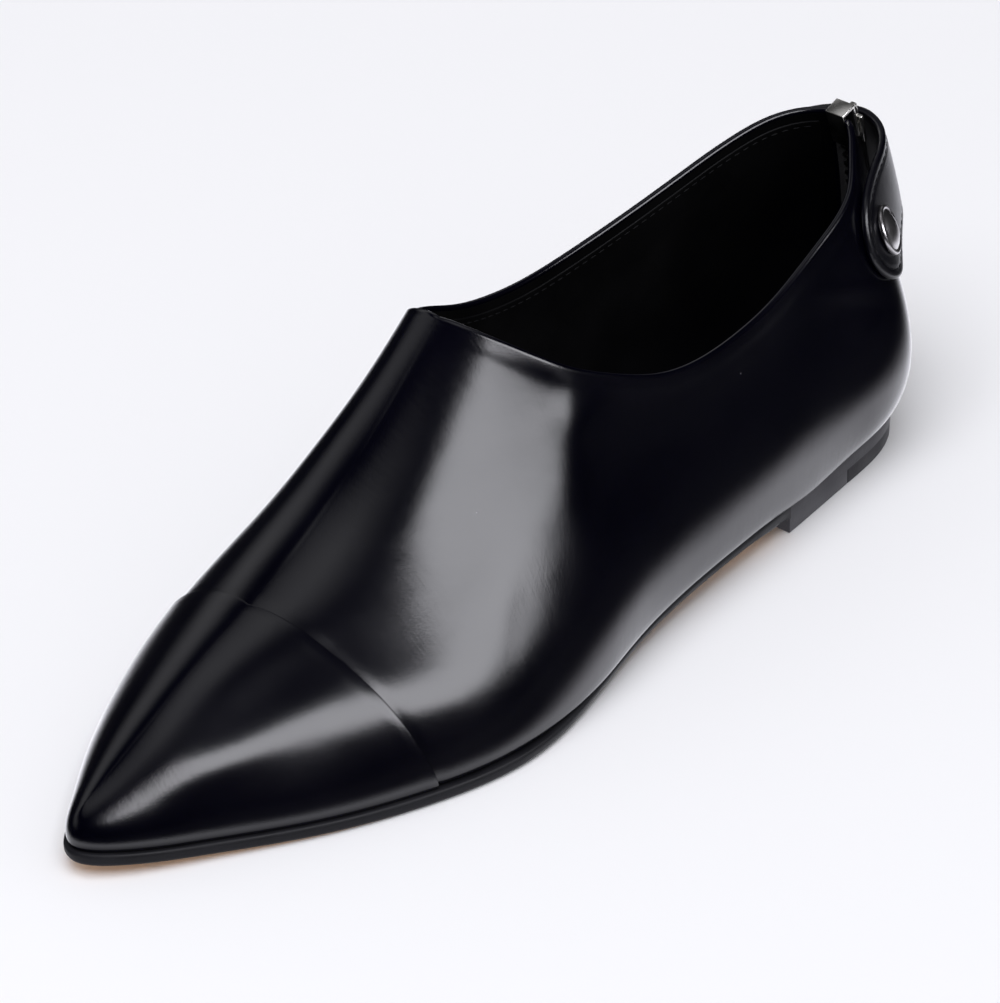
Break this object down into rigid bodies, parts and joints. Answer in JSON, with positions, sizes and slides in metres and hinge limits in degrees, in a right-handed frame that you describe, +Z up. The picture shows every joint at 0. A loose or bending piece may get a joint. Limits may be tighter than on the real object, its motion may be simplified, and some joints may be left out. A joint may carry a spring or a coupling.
{
  "type": "flat shoe",
  "caption": "Pointed black leather flat for the left foot, with a straight toe cap, a deep topline, a back zip under a snapped heel strap and a low heel lift.",
  "frame": {"origin": "on the floor under the middle of the shoe's bounding box", "axes": "+X to the toe, +Y to the outer side of the foot, +Z up"},
  "size_m": [0.274, 0.0842, 0.0806],
  "materials": {
    "black_leather": "smooth, polished",
    "sole_leather": "natural underside, edge painted black",
    "heel_leather": "painted edge",
    "heel_rubber": "matt",
    "insole_leather": "smooth",
    "zip_tape": "woven tape",
    "snap_metal": "dark, polished",
    "slider_metal": "polished"
  },
  "bodies": {
    "shoe": {"outsole": "sole_leather", "heel_lift": "heel_leather", "heel_rubber": "heel_rubber", "insole": "insole_leather", "upper": "black_leather", "toe_cap": "black_leather", "heel_strap": "black_leather", "snap_cap": "snap_metal", "zip_chain": "zip_tape", "zip_slider": "slider_metal"},
    "pull": {"zip_pull": "slider_metal"}
  },
  "joints": [
    {"name": "pull_swing", "type": "hinge", "parent": "shoe", "child": "pull", "pos_m": [-0.12693, -0.00161, 0.06969], "axis": [0, 1, 0], "range_deg": [-1.5, 4]}
  ]
}
